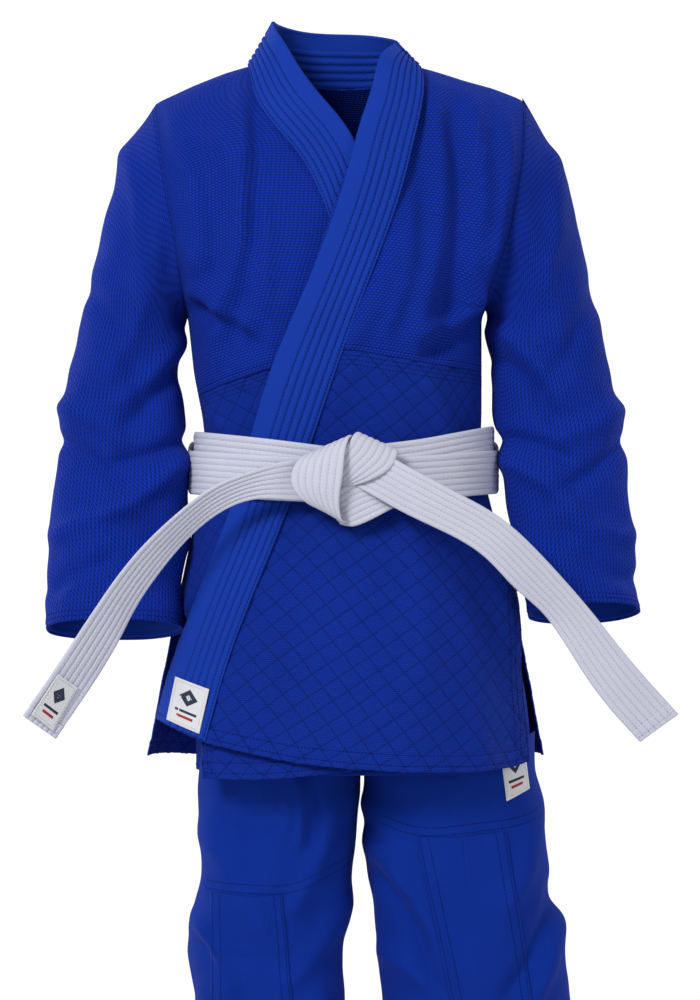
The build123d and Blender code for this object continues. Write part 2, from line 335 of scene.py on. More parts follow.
def sew(piece, stitches, material):
    """Adds stitches to a piece's mesh, each a small spindle of thread."""
    stitches = np.concatenate(stitches)
    first, last, n = stitches[:, 0:3], stitches[:, 3:6], stitches[:, 6:9]
    radius = stitches[:, 9:10]
    along = last - first
    along = along / np.maximum(np.linalg.norm(along, axis=-1, keepdims=True), 1e-9)
    aside = np.cross(along, n)
    sides = 4
    rings = []
    for place, size in ((0.0, 0.35), (0.25, 1.0), (0.75, 1.0), (1.0, 0.35)):
        for k in range(sides):
            turn = 2 * math.pi * k / sides
            swing = math.cos(turn) * aside + math.sin(turn) * n
            rings.append(first + (last - first) * place + radius * size * swing)
    vertices = np.stack(rings, axis=1)
    one = []
    for low in range(0, 3 * sides, sides):
        high = low + sides
        for k in range(sides):
            after = (k + 1) % sides
            one.append((low + k, low + after, high + after, high + k))
    one += [(3, 2, 1, 0), (12, 13, 14, 15)]
    base = np.arange(len(stitches))[:, None, None] * vertices.shape[1]
    faces = (np.array(one)[None] + base).reshape(-1, 4)
    join(piece, new_object("threads", vertices.reshape(-1, 3), faces, None, material))


def join(piece, *others):
    with bpy.context.temp_override(active_object=piece, selected_editable_objects=[piece, *others]):
        bpy.ops.object.join()


# ---- materials

def node(tree, kind, **inputs):
    made = tree.nodes.new(kind)
    for name, value in inputs.items():
        made.inputs[name].default_value = value
    return made


def math_node(operation, a, b=None):
    """A maths node in the tree of the socket that is a or b."""
    tree = (b if isinstance(a, (int, float)) else a).id_data
    made = tree.nodes.new("ShaderNodeMath")
    made.operation = operation
    for socket, value in zip(made.inputs, (a, b)):
        if isinstance(value, (int, float)):
            socket.default_value = value
        elif value is not None:
            tree.links.new(value, socket)
    return made.outputs[0]


def grain_height(u, v, wide, tall):
    """Oval grains in staggered rows, 0 between them and 1 on top, from cloth coordinates."""
    row = math_node("DIVIDE", v, tall)
    odd = math_node("MODULO", math_node("ABSOLUTE", math_node("FLOOR", row)), 2.0)
    column = math_node("ADD", math_node("DIVIDE", u, wide), math_node("MULTIPLY", odd, 0.5))
    a = math_node("SUBTRACT", math_node("FRACT", column), 0.5)
    b = math_node("SUBTRACT", math_node("FRACT", row), 0.5)
    spread_out = math_node("ADD", math_node("MULTIPLY", a, a), math_node("MULTIPLY", b, b))
    height = math_node("SUBTRACT", 1.0, math_node("MULTIPLY", spread_out, 3.2))
    return math_node("MAXIMUM", height, 0.0)


def twill_height(u, v, pitch, slope=0.6):
    """Fine diagonal ribs."""
    slant = math_node("ADD", u, math_node("MULTIPLY", v, slope))
    wave = math_node("SINE", math_node("MULTIPLY", slant, 2 * math.pi / pitch))
    return math_node("MULTIPLY", math_node("ADD", wave, 1.0), 0.5)


DIAMOND = (23.0, 21.0)


def diamond_lines(u, v):
    """1 on the lines of the quilted diamonds and 0 off them, from cloth coordinates; it places painted shade
    along their grooves.
    """
    near = []
    for way in (1, -1):
        place = math_node("ADD", math_node("DIVIDE", u, DIAMOND[0] * MM),
                          math_node("MULTIPLY", v, way / (DIAMOND[1] * MM)))
        off = math_node("ABSOLUTE", math_node("SUBTRACT", place, math_node("ROUND", place)))
        near.append(math_node("SUBTRACT", 1.0, math_node("MULTIPLY", off, 16.0)))
    return math_node("MAXIMUM", math_node("MAXIMUM", near[0], near[1]), 0.0)


def fabric(name, colour, pattern, wide, tall, depth, valley_shade, sheen=0.25, fuzz_share=0.45, diamonds=False):
    """Cotton: a weave in cloth coordinates with painted shade in its valleys, uneven dye, fuzz and a soft
    sheen.
    """
    material = bpy.data.materials.new(name)
    material.use_nodes = True
    tree = material.node_tree
    shader = tree.nodes["Principled BSDF"]
    shader.inputs["Roughness"].default_value = 0.92
    shader.inputs["Sheen Weight"].default_value = sheen
    shader.inputs["Sheen Roughness"].default_value = 0.4
    shader.inputs["Sheen Tint"].default_value = (*[min(1.0, c * 1.3 + 0.05) for c in colour], 1)
    shader.inputs["Specular IOR Level"].default_value = 0.12
    place = tree.nodes.new("ShaderNodeUVMap")
    place.uv_map = "cloth"
    solid = tree.nodes.new("ShaderNodeTexCoord")
    jitter = node(tree, "ShaderNodeTexNoise", Scale=180.0, Detail=2.0)
    tree.links.new(solid.outputs["Object"], jitter.inputs["Vector"])
    nudge = tree.nodes.new("ShaderNodeVectorMath")
    nudge.operation = "MULTIPLY_ADD"
    nudge.inputs[1].default_value = (0.0012, 0.0012, 0.0)
    tree.links.new(jitter.outputs["Color"], nudge.inputs[0])
    tree.links.new(place.outputs["UV"], nudge.inputs[2])
    split = tree.nodes.new("ShaderNodeSeparateXYZ")
    tree.links.new(nudge.outputs[0], split.inputs[0])
    u, v = split.outputs[0], split.outputs[1]
    if pattern == "grain":
        height = grain_height(u, v, wide, tall)
    elif pattern == "upright grain":
        height = grain_height(v, u, wide, tall)
    elif pattern == "canvas":
        ribs = [twill_height(u, v, wide, slope) for slope in (0.6, -0.6)]
        height = math_node("MULTIPLY", *ribs)
    else:
        height = twill_height(u, v, wide)
    fuzz = node(tree, "ShaderNodeTexNoise", Scale=700.0, Detail=3.0)
    tree.links.new(solid.outputs["Object"], fuzz.inputs["Vector"])
    relief = math_node("ADD", height, math_node("MULTIPLY", fuzz.outputs["Fac"], fuzz_share))
    bumps = node(tree, "ShaderNodeBump", Strength=0.85, Distance=depth)
    tree.links.new(relief, bumps.inputs["Height"])
    tree.links.new(bumps.outputs["Normal"], shader.inputs["Normal"])
    cloud = node(tree, "ShaderNodeTexNoise", Scale=9.0, Detail=4.0)
    tree.links.new(solid.outputs["Object"], cloud.inputs["Vector"])
    # Painted shade: the colour is darker in the weave's valleys, where the grains stand low.
    shade = math_node("ADD", 1.0 - valley_shade, math_node("MULTIPLY", height, valley_shade))
    drift = math_node("ADD", 0.84, math_node("MULTIPLY", cloud.outputs["Fac"], 0.32))
    worn = math_node("ADD", 0.92, math_node("MULTIPLY", fuzz.outputs["Fac"], 0.16))
    strength = math_node("MULTIPLY", math_node("MULTIPLY", shade, drift), worn)
    if diamonds:
        # Painted shade: the colour is darkened along the grooves of the quilted diamonds.
        lines = math_node("MULTIPLY", diamond_lines(u, v), 0.42)
        strength = math_node("MULTIPLY", strength, math_node("SUBTRACT", 1.0, lines))
    tint = tree.nodes.new("ShaderNodeVectorMath")
    tint.operation = "SCALE"
    tint.inputs[0].default_value = colour
    tree.links.new(strength, tint.inputs["Scale"])
    tree.links.new(tint.outputs[0], shader.inputs["Base Color"])
    return material


grain_weave = fabric("blue_grain_weave", (0.0045, 0.034, 0.42), "grain", 0.0037, 0.0025, 0.0007, 0.62)
sleeve_weave = fabric("blue_sleeve_weave", (0.0045, 0.034, 0.42), "upright grain", 0.0042, 0.0036, 0.0008,
                      0.62)
pebble_weave = fabric("blue_diamond_weave", (0.0045, 0.032, 0.36), "grain", 0.0021, 0.0017, 0.0005, 0.45,
                      diamonds=True)
band_twill = fabric("blue_band", (0.0070, 0.042, 0.375), "twill", 0.0012, 0.0012, 0.00015, 0.14)
drill = fabric("blue_drill", (0.0022, 0.027, 0.290), "twill", 0.0014, 0.0014, 0.0002, 0.16)
# The belt is white; the blue in its colour is painted reflected light from the blue cloth.
strap_white = fabric("white_strap", (0.64, 0.65, 0.77), "canvas", 0.0013, 0.0013, 0.0002, 0.10, 0.1)
thread = fabric("dark_blue_thread", (0.003, 0.007, 0.085), "twill", 0.0006, 0.0006, 0.0001, 0.2, 0.0)
light_thread = fabric("violet_thread", (0.060, 0.050, 0.400), "twill", 0.0006, 0.0006, 0.0001, 0.2, 0.0)
# Painted shade and reflected light: the belt's white thread is given the belt's darker tone in shade, tinted
# blue by light from the blue cloth; its stitches lie in the grooves between the ridges.
shaded_white_thread = fabric("shaded_white_thread", (0.46, 0.47, 0.58), "twill", 0.0006, 0.0006, 0.0001, 0.2, 0.0)
label_cloth = fabric("label_cloth", (0.72, 0.73, 0.76), "canvas", 0.0006, 0.0006, 0.00006, 0.06, 0.1)
label_dark = fabric("label_mark_dark", (0.035, 0.045, 0.080), "canvas", 0.0006, 0.0006, 0.00006, 0.10, 0.1)
label_red = fabric("label_mark_red", (0.420, 0.030, 0.040), "canvas", 0.0006, 0.0006, 0.00006, 0.10, 0.1)


# ---- the body form and the lines on it

# The body form that every layer follows: height, middle, half width, half depth.
form = smooth_table([
    (60, -3, 199, 96), (-110, -1, 199, 97), (-165, -4, 178, 100), (-214, -7, 136, 101), (-270, -4, 133, 97),
    (-310, 0, 129, 92), (-350, 1, 126, 89), (-385, 2, 134, 94), (-470, 4, 154, 108), (-550, 4, 170, 119),
    (-660, 4, 190, 132),
])
POWER = 2.35         # squareness of the body's cross section
shoulder_line = smooth_table([
    (-190, -34), (-169, -18), (-136, -3), (-108, 8), (-84, 15), (-40, 19), (0, 20), (40, 19), (66, 15),
    (88, 9), (113, 1), (139, -6), (163, -15), (185, -30),
], 14)
shoulder_round = smooth_table([(-170, 70), (-90, 85), (0, 135), (90, 85), (170, 70)], 40)
right_armhole = smooth_table([(-22, -172), (-90, -161), (-150, -151), (-214, -143)], 20)
left_armhole = smooth_table([(-14, 167), (-80, 163), (-140, 153), (-206, 131)], 20)
left_lapel_free = smooth_table([
    (21, 36), (-13, 27), (-44, 17), (-80, 8), (-192, -31), (-269, -64), (-391, -100), (-523, -151),
    (-585, -170),
])
left_lapel_seam = smooth_table([
    (14, 68), (1, 74), (-34, 72), (-100, 56), (-236, 7), (-341, -30), (-444, -67), (-523, -100),
    (-602, -122),
], 20)
right_lapel_free = smooth_table([
    (34, -54), (-7, -29), (-54, 7), (-62, 13), (-150, 44), (-269, 70), (-391, 92), (-612, 118),
])
right_lapel_seam = smooth_table([
    (14, -86), (1, -84), (-34, -72), (-64, -47), (-92, -27), (-150, -4), (-269, 22), (-391, 42), (-618, 70),
], 20)
waist_seam_left = smooth_table([(-120, -270), (7, -252), (48, -259), (88, -265), (127, -269)], 30)
waist_seam_right = smooth_table([(-138, -294), (-108, -282), (-64, -268), (80, -268)], 30)
left_hem = smooth_table([
    (-190, -580), (-170, -586), (-122, -604), (-83, -612), (-42, -620), (4, -625), (53, -628), (117, -629),
    (155, -627), (175, -622),
], 16)
right_hem = smooth_table([(-128, -636), (-83, -636), (-57, -635), (-19, -631), (13, -627), (120, -622)], 16)
back_hem = smooth_table([(-190, -622), (-100, -632), (0, -636), (100, -632), (190, -622)], 30)
back_neck = smooth_table([(-92, 30), (-78, 11), (-50, 3), (0, 0), (50, 3), (59, 11), (74, 30)], 4)
VENT = -468.0        # top of the side vents


def body_depth(x, z):
    """How far the cloth stands in front of or behind the shoulder seams."""
    middle, half_width, half_depth = form(z)
    inside = np.clip(1 - np.abs((x - middle) / half_width) ** POWER, 0, 1) ** (1 / POWER)
    drop = np.clip((shoulder_line(x) - z) / shoulder_round(x), 0, 1)
    return half_depth * inside * np.sqrt(1 - (1 - drop) ** 2)


def side_x(z, way):
    middle, half_width, half_depth = form(z)
    return middle + way * half_width


def outer_edge(z, way):
    """The armhole above the armpit and the side seam below it."""
    if way < 0:
        return np.where(z > -214, right_armhole(z), side_x(z, -1))
    return np.where(z > -206, left_armhole(z), side_x(z, 1))


def back_top(x):
    return np.minimum(shoulder_line(x), back_neck(x))


def flat_waist(x):
    return 0 * x - 270.0


def left_vent(z):
    return np.where(z > VENT, side_x(z, 1), 158 + (z - VENT) / (-627 - VENT) * 12)


def right_vent(z):
    return np.where(z > VENT, side_x(z, -1), np.maximum(side_x(z, -1), -150 + 25 * ease((VENT - z) / 60)))


# ---- chest and skirt panels

def next_to_body(x, z):
    return 0 * x


def over_right_front(x, z):
    """How far the left front stands off: enough to pass over the right lapel, less towards the side."""
    over_lapel = ease((right_lapel_free(z) + 40 - x) / 34)
    return 0.8 + over_lapel * (8.2 + 4.5 * ease((-470 - z) / 80) * ease((x - 20) / 50))


def panel(inner, outer, top, bottom, rows, columns, layer, crowd=1.0, middle=-300.0):
    """A panel of the front between an inner and an outer edge, given by height, and a top and a bottom."""
    across = np.sin(spread(0, 1, columns)[None, :] * math.pi / 2)
    down = spread(0, 1, rows)[:, None] ** crowd
    z = np.full((rows, columns), middle)
    for _ in range(12):
        x = inner(z) * (1 - across) + outer(z) * across
        z = top(x) * (1 - down) + bottom(x) * down
    return stack(x, -body_depth(x, z) - layer(x, z), z)


def back_panel(top, bottom, reach, rows, columns, crowd=1.0, middle=-300.0):
    across = np.sin(spread(-1, 1, columns)[None, :] * math.pi / 2)
    down = spread(0, 1, rows)[:, None] ** crowd
    z = np.full((rows, columns), middle)
    for _ in range(12):
        low = reach(z, -1)
        high = reach(z, 1)
        x = (low + high) / 2 + (high - low) / 2 * across
        z = top(x) * (1 - down) + bottom(x) * down
    return stack(x, body_depth(x, z), z)


CHEST_CREASES = [
    (-92, -10, -118, -250, 9, 4.6), (-80, -30, -100, -240, 7, -4.0), (-108, -60, -84, -215, 10, 3.6),
    (-143, -192, -82, -230, 9, 5.0), (-141, -208, -78, -248, 7, -5.0), (-150, -150, -96, -238, 10, 4.0),
    (-78, -95, -70, -210, 8, 3.0), (-152, -40, -128, -180, 12, 3.4), (-136, -60, -118, -190, 9, -2.8),
    (84, -25, 66, -235, 10, 4.6), (100, -50, 88, -245, 8, -4.0), (120, -30, 112, -200, 10, 3.6),
    (129, -196, 70, -238, 9, 5.6), (131, -212, 76, -256, 7, -5.0), (140, -150, 96, -235, 10, 4.0),
    (62, -110, 40, -236, 9, 3.4), (48, -160, 8, -246, 10, 3.0), (150, -50, 136, -170, 10, 3.4),
]
BACK_CREASES = [
    (-120, -60, -90, -250, 18, 3.5), (118, -60, 92, -250, 18, 3.5), (-30, -80, -22, -255, 26, -3.0),
    (40, -70, 30, -250, 24, 2.5), (-142, -200, -66, -242, 11, 5.0), (132, -195, 66, -240, 11, 5.0),
    (-146, -160, -80, -225, 12, -4.0), (142, -150, 78, -222, 12, -4.0),
]


SEAM_REACH = 12.0    # how far from a seam the folds fade


def away_from_seams(points):
    """0 on the side, armhole and shoulder seams and 1 away from them, so that the panels meet there."""
    x, z = points[..., 0], points[..., 2]
    edge = np.where(x < 0, outer_edge(z, -1), outer_edge(z, 1))
    return ease(np.abs(edge - x) / SEAM_REACH) * ease((shoulder_line(x) - z) / SEAM_REACH)


def dress(cloth, creases, seed, height=2.4):
    """Cloth folds and soft unevenness."""
    points = cloth.points
    swell = CHEST_FOLDS * folds(points, creases) + wobble(points, 60, height, seed)
    swell = swell + wobble(points, 22, height * 0.3, seed + 9)
    return cloth.push(swell * away_from_seams(points))


def chest_front(free_edge, way, seam, layer, seed):
    points = panel(free_edge, lambda z: outer_edge(z, way), shoulder_line, seam, 120, 110, layer, 1.5, -150.0)
    return dress(Cloth(points, start="bottom"), CHEST_CREASES, seed)


jacket_right_front = chest_front(right_lapel_free, -1, waist_seam_right, next_to_body, 3.1)
jacket_left_front = chest_front(left_lapel_free, 1, waist_seam_left, over_right_front, 5.7)
back_points = back_panel(back_top, flat_waist, outer_edge, 110, 150, 1.4, -150.0)
jacket_back = dress(Cloth(back_points, start="bottom"), BACK_CREASES, 8.3)


def quilt(cloth, depth=0.6):
    """Shallow grooves along the lines of the diamonds."""
    u, v = cloth.coordinates[..., 0], cloth.coordinates[..., 1]
    groove = 0
    for way in (1, -1):
        place = u / DIAMOND[0] + way * v / DIAMOND[1]
        groove = groove + bump(np.abs(place - np.round(place)) * DIAMOND[0] * 0.7, 1.3)
    return -depth * np.minimum(groove, 1)


HEM = 14.0           # depth of the turned-up hems of the skirt


def skirt(cloth, creases, seed, sway=3.4):
    points = cloth.points
    low = ease((-385 - points[..., 2]) / 230)
    swell = quilt(cloth) + SKIRT_FOLDS * folds(points, creases) + wobble(points, 90, sway, seed) * low
    from_hem = cloth.coordinates[-1, :, 1] - cloth.coordinates[..., 1]
    swell = swell + wobble(points, 30, 0.9, seed + 3) + 0.8 * ease((HEM + 1 - from_hem) / 1.5)
    sewn = ease((points[..., 2] - VENT) / 20)
    return cloth.push(swell * (1 - sewn * (1 - away_from_seams(points))))


LEFT_SKIRT_CREASES = [
    (-20, -400, 10, -610, 30, 3.4), (90, -395, 118, -620, 24, -1.6), (40, -290, 44, -345, 18, 2.6),
    (126, -390, 160, -520, 14, 3.4), (-50, -400, -60, -600, 20, -2.4), (76, -280, 104, -345, 12, 2.4),
    (10, -280, 0, -345, 12, -2.0), (60, -400, 70, -560, 16, 2.6),
]
RIGHT_SKIRT_CREASES = [
    (-124, -300, -100, -350, 10, 3.0), (-110, -400, -120, -600, 16, 2.4), (-90, -290, -70, -345, 10, -2.4),
]
BACK_SKIRT_CREASES = [
    (-60, -400, -80, -620, 34, 5.0), (50, -400, 70, -620, 36, 5.0), (-5, -400, -5, -620, 26, -4.0),
    (-120, -420, -140, -620, 20, -3.5), (120, -420, 140, -620, 20, -3.5),
]
skirt_left_front = skirt(Cloth(panel(left_lapel_free, left_vent, waist_seam_left, left_hem, 200, 200,
                                     over_right_front)), LEFT_SKIRT_CREASES, 21.3)
skirt_right_front = skirt(Cloth(panel(right_lapel_free, right_vent, waist_seam_right, right_hem, 190, 150,
                                      next_to_body)), RIGHT_SKIRT_CREASES, 25.9)
skirt_back = skirt(Cloth(back_panel(flat_waist, back_hem, side_x, 190, 260)), BACK_SKIRT_CREASES, 29.1, 4.0)


# ---- collar

# The collar band is one long strip from the left hem over the neck to the right hem, in three pieces.
# Its stitch rows, as places across it from the free edge to the seam.
BAND_ROWS = (0.33, 0.46, 0.59, 0.72, 0.85, 0.955)
BAND_COLUMNS = 101


def band_relief():
    """Height across the band: rounded edges, a plain part at the free edge, then stitched ridges."""
    u = spread(0, 1, BAND_COLUMNS)
    relief = 1.3 * np.minimum(1, np.minimum(u, 1 - u) / 0.035) ** 0.5
    for row in BAND_ROWS:
        relief -= 1.2 * bump(u - row, 0.017)
    return relief + np.where(u > BAND_ROWS[0], 0.4 * np.sin((u - BAND_ROWS[0]) / 0.13 * math.pi) ** 2, 0)


def band_keys(free_line, seam_line, heights, layer):
    """Pairs of points on the free edge and the seam, where each height is the free edge's and the seam's."""
    keys = []
    for free_z, seam_z in heights:
        free_x = float(free_line(free_z))
        seam_x = float(seam_line(seam_z))
        keys.append([(free_x, -float(body_depth(free_x, free_z)) - layer, free_z),
                     (seam_x, -float(body_depth(seam_x, seam_z)) - layer, seam_z)])
    return keys


def band(keys, rows, layer, seed, away="front"):
    points = between(spline(keys, rows), BAND_COLUMNS)
    x, y, z = points[..., 0], points[..., 1], points[..., 2]
    least = -(body_depth(x, z) + layer)
    low = ease((-30 - z) / 40)
    y = np.where(y < 0, np.minimum(y * (1 - low) + least * low, least), y)
    cloth = Cloth(stack(x, y, z), away)
    return cloth.push(band_relief()[None, :] + wobble(cloth.points, 70, 1.2, seed))


LEFT_NECK = [[(36, -48, 21), (74, -50, 1)], [(46, -22, 32), (71, -18, 13)], [(49, 2, 38), (68, 6, 15)]]
BACK_NECK = [
    [(44, 26, 44), (65, 43, 6)], [(26, 41, 49), (38, 57, -2)], [(-6, 46, 51), (-6, 59, -4)],
    [(-38, 41, 53), (-50, 58, -2)], [(-56, 26, 56), (-80, 45, 6)],
]
RIGHT_NECK = [[(-63, 2, 57), (-87, 6, 16)], [(-61, -22, 47), (-87, -18, 14)], [(-54, -44, 34), (-84, -50, 1)]]
LEFT_HEIGHTS = [
    (-585, -602), (-523, -540), (-391, -412), (-269, -290), (-192, -212), (-80, -100), (-44, -60), (-13, -30),
]
RIGHT_HEIGHTS = [
    (-612, -618), (-523, -530), (-391, -400), (-269, -280), (-150, -165), (-85, -112), (-54, -80), (-7, -34),
]
LEFT_LAYER = 10.5    # how far the lapels stand off the body form
RIGHT_LAYER = 3.4
left_keys = band_keys(left_lapel_free, left_lapel_seam, LEFT_HEIGHTS, LEFT_LAYER) + LEFT_NECK
right_keys = band_keys(right_lapel_free, right_lapel_seam, RIGHT_HEIGHTS, RIGHT_LAYER) + RIGHT_NECK[::-1]
left_lapel = band(left_keys, 330, LEFT_LAYER, 1.7)
right_lapel = band(right_keys, 330, RIGHT_LAYER, 4.4)
collar = band([LEFT_NECK[-1], *BACK_NECK, RIGHT_NECK[0]], 110, 1.0, 7.9, "body")


# ---- sleeves

SLEEVE_COLUMNS = 120


def armhole_ring(line, top, bottom):
    turn = spread(0, 2 * math.pi, SLEEVE_COLUMNS + 1)[:-1]
    z = top + (bottom - top) * (1 - np.cos(turn)) / 2
    x = line(z)
    y = -np.sign(np.sin(turn)) * body_depth(x, z)
    return stack(x, np.where(np.abs(np.sin(turn)) < 1e-6, 0, y), z)


def sleeve_ring(outer, inner, middle_y, half_depth, tilt=0.0):
    """One ring: outer and inner edge as X and Z in the front view; tilt drops its back edge."""
    turn = spread(0, 2 * math.pi, SLEEVE_COLUMNS + 1)[:-1]
    across = (1 + np.sign(np.cos(turn)) * np.abs(np.cos(turn)) ** (2 / 2.2)) / 2
    around = np.sign(np.sin(turn)) * np.abs(np.sin(turn)) ** (2 / 2.2)
    x = inner[0] + (outer[0] - inner[0]) * across
    z = inner[1] + (outer[1] - inner[1]) * across + around * tilt
    return stack(x, middle_y - around * half_depth, z)


def sleeve(rings, creases, seed):
    cloth = Cloth(spline(rings, 200), "ring")
    points = cloth.points
    down = spread(0, 1, len(points))[:, None]
    free = ease(down / 0.10)
    swell = SLEEVE_FOLDS * folds(points, creases) * ease((20 - points[..., 1]) / 30)
    swell = (swell + wobble(points, 58, 5.0, seed) + wobble(points, 24, 1.4, seed + 5)) * free
    return cloth.push(swell + 0.7 * ease((down - 0.975) / 0.004))


RIGHT_RINGS = [armhole_ring(right_armhole, -20, -214), *(sleeve_ring(*row) for row in (
    ((-199, -66), (-146, -226), -1, 60), ((-224, -150), (-147, -240), -3, 54),
    ((-246, -248), (-148, -268), -8, 49), ((-262, -330), (-141, -332), -15, 45),
    ((-268, -410), (-143, -408), -27, 43), ((-271, -505), (-145, -505), -42, 42, 11),
))]
LEFT_RINGS = [armhole_ring(left_armhole, -14, -206), *(sleeve_ring(*row) for row in (
    ((196, -66), (135, -216), -1, 60), ((219, -140), (136, -232), -3, 54),
    ((243, -246), (137, -262), -8, 49), ((259, -330), (143, -332), -15, 45),
    ((264, -400), (152, -398), -27, 43), ((272, -488), (171, -492), -42, 42, 11),
))]
RIGHT_SLEEVE_CREASES = [
    (-146, -236, -206, -300, 9, 4.5), (-148, -262, -200, -322, 8, -4.5), (-142, -330, -206, -352, 8, -6.0),
    (-146, -350, -214, -398, 9, 6.0), (-258, -300, -200, -330, 10, 5.0), (-262, -330, -196, -378, 8, -5.0),
    (-160, -120, -205, -260, 10, 3.6), (-236, -190, -180, -300, 10, -3.6), (-264, -420, -186, -396, 9, 4.0),
    (-148, -420, -200, -470, 10, 3.6), (-200, -60, -186, -210, 9, 3.6), (-266, -470, -210, -440, 8, -3.0),
]
LEFT_SLEEVE_CREASES = [
    (138, -228, 200, -296, 9, 4.5), (140, -256, 196, -318, 8, -4.5), (144, -330, 206, -350, 8, -6.0),
    (148, -350, 214, -398, 9, 6.0), (256, -300, 200, -330, 10, 5.0), (260, -330, 198, -378, 8, -5.0),
    (158, -120, 200, -250, 10, 3.6), (230, -190, 178, -290, 10, -3.6), (262, -420, 196, -398, 9, 4.0),
    (166, -420, 210, -462, 10, 3.6), (194, -60, 182, -200, 9, 3.6), (268, -460, 216, -436, 8, -3.0),
]
sleeve_right = sleeve(RIGHT_RINGS, RIGHT_SLEEVE_CREASES, 12.6)
sleeve_left = sleeve(LEFT_RINGS, LEFT_SLEEVE_CREASES, 15.2)


def lining_of(cloth, first_row, gap=CLOTH + 0.4):
    """The cloth inside the last rows of a tube."""
    rows = slice(first_row, len(cloth.points) - 1)
    return Cloth(cloth.points[rows] - cloth.out[rows] * gap, cloth.away)


# ---- belt

STRAP_WIDTH = 40.0
RIDGES = 7
STRAP_COLUMNS = 8 * RIDGES + 1
PUCKER = 4.4         # length of one stitch on the belt


def strap_relief(length, rows):
    """Ridges along a strap, pulled in a little at every stitch, with rounded edges."""
    u = spread(0, 1, STRAP_COLUMNS)[None, :]
    along = spread(0, length, rows)[:, None]
    ridge = np.abs(np.sin(u * RIDGES * math.pi)) ** 0.55
    row = np.round(u * RIDGES)
    pull = 1 - 0.16 * np.cos(2 * math.pi * (along / PUCKER + row * 0.37)) * (1 - ridge)
    return 0.85 * ridge * pull + 0.6 * np.minimum(1, np.minimum(u, 1 - u) / 0.03)


def wrap(side, front, back, middle_line, seed):
    """A wrap of the belt round the waist, as rows round it and columns down it."""
    turn = spread(0, 2 * math.pi, 361)[:-1][None, :]
    u = spread(0, 1, STRAP_COLUMNS)[:, None]
    c, s = np.cos(turn), np.sin(turn)
    middle, half_width, half_depth = form(-358.0)
    x = middle + (half_width + side) * np.sign(c) * np.abs(c) ** (2 / POWER)
    y = (half_depth + np.where(s < 0, front, back)) * np.sign(s) * np.abs(s) ** (2 / POWER)
    before = ease(-s * 3 + 0.5)
    z = middle_line(x) * before - 352 * (1 - before) + STRAP_WIDTH * (0.5 - u)
    cloth = Cloth(stack(x, y, z), "ring")
    return cloth.push(strap_relief(820, 360).T + wobble(cloth.points, 40, 1.0, seed))


inner_middle = smooth_table([(-140, -343), (-60, -352), (0, -360), (70, -352), (140, -338)], 60)
outer_middle = smooth_table([(-140, -361), (-60, -367), (0, -369), (70, -367), (150, -360)], 60)
inner_wrap = wrap(10, 15.5, 6, inner_middle, 31.7)
outer_wrap = wrap(14, 20, 10.5, outer_middle, 33.1)


def strap(keys, rows, length, seed, end_fold=0.0):
    """A strap between two edges, given as pairs of points along it."""
    cloth = Cloth(between(spline(keys, rows), STRAP_COLUMNS), "front")
    from_end = (1 - spread(0, 1, rows)[:, None]) * length
    swell = strap_relief(length, rows) + wobble(cloth.points, 50, 0.8, seed)
    return cloth.push(swell + end_fold * ease((13 - from_end) / 1.2))


tail_left = strap([
    [(34, -120, -340), (-4, -121, -368)], [(50, -126, -351), (15, -127, -376)],
    [(68, -130, -361), (46, -129, -393)], [(105, -132, -381), (89, -130, -414)],
    [(141, -133, -402), (123, -130, -434)], [(182, -132, -440), (153, -129, -464)],
    [(220, -130, -483), (182, -127, -491)], [(252, -127, -523), (219, -124, -546)],
    [(300, -122, -577), (266, -119, -602)],
], 340, 370, 41.1, 0.9)
tail_right = strap([
    [(-20, -124, -352), (-18, -122, -386)], [(-44, -128, -351), (-40, -124, -387)],
    [(-76, -133, -359), (-78, -123, -386)], [(-108, -136, -371), (-112, -121, -400)],
    [(-146, -138, -398), (-148, -119, -433)], [(-184, -138, -435), (-181, -116, -478)],
    [(-216, -136, -478), (-198, -114, -510)], [(-246, -133, -523), (-217, -112, -542)],
    [(-284, -128, -578), (-256, -110, -600)],
], 330, 360, 43.9, 0.9)
knot_front = strap([
    [(-28, -114, -352), (12, -112, -334)], [(-31, -125, -347), (9, -126, -329)],
    [(-40, -135, -353), (4, -138, -340)], [(-45, -138, -367), (1, -142, -364)],
    [(-40, -136, -381), (-2, -140, -387)], [(-21, -128, -392), (2, -132, -406)],
    [(-8, -114, -388), (8, -118, -402)],
], 90, 95, 46.3)
knot_upper = strap([
    [(16, -112, -331), (47, -112, -346)], [(13, -121, -326), (50, -120, -343)],
    [(5, -131, -336), (47, -127, -353)], [(-6, -134, -348), (37, -130, -363)],
    [(-12, -133, -360), (22, -130, -370)], [(-16, -128, -372), (0, -126, -375)],
], 80, 70, 48.1)
knot_lower = strap([
    [(34, -112, -372), (48, -112, -392)], [(22, -121, -371), (45, -120, -394)],
    [(6, -127, -372), (28, -124, -403)], [(-6, -128, -380), (10, -124, -410)],
    [(-16, -122, -390), (0, -118, -408)],
], 80, 70, 52.7)


# ---- trousers

CENTRE_SEAM = 18.0
seat_form = smooth_table([
    (-332, 1, 118, 80), (-430, 6, 134, 90), (-540, 14, 150, 96), (-640, 22, 158, 99),
], 40)


def seat(way):
    """Half of the trousers' top, from the front centre seam round the side to the back one."""
    across = spread(0, 1, 130)[None, :]
    z = spread(-374, -634, 110)[:, None]
    middle, half_width, half_depth = seat_form(z)
    reach = middle + way * half_width - CENTRE_SEAM
    x = CENTRE_SEAM + reach * np.sin(across * math.pi)
    inside = np.clip(1 - np.abs((x - middle) / half_width) ** 2.3, 0, 1) ** (1 / 2.3)
    cloth = Cloth(stack(x, np.where(across < 0.5, -1, 1) * half_depth * inside, z))
    return cloth.push(wobble(cloth.points, 60, 2.6, 61.0 + way))


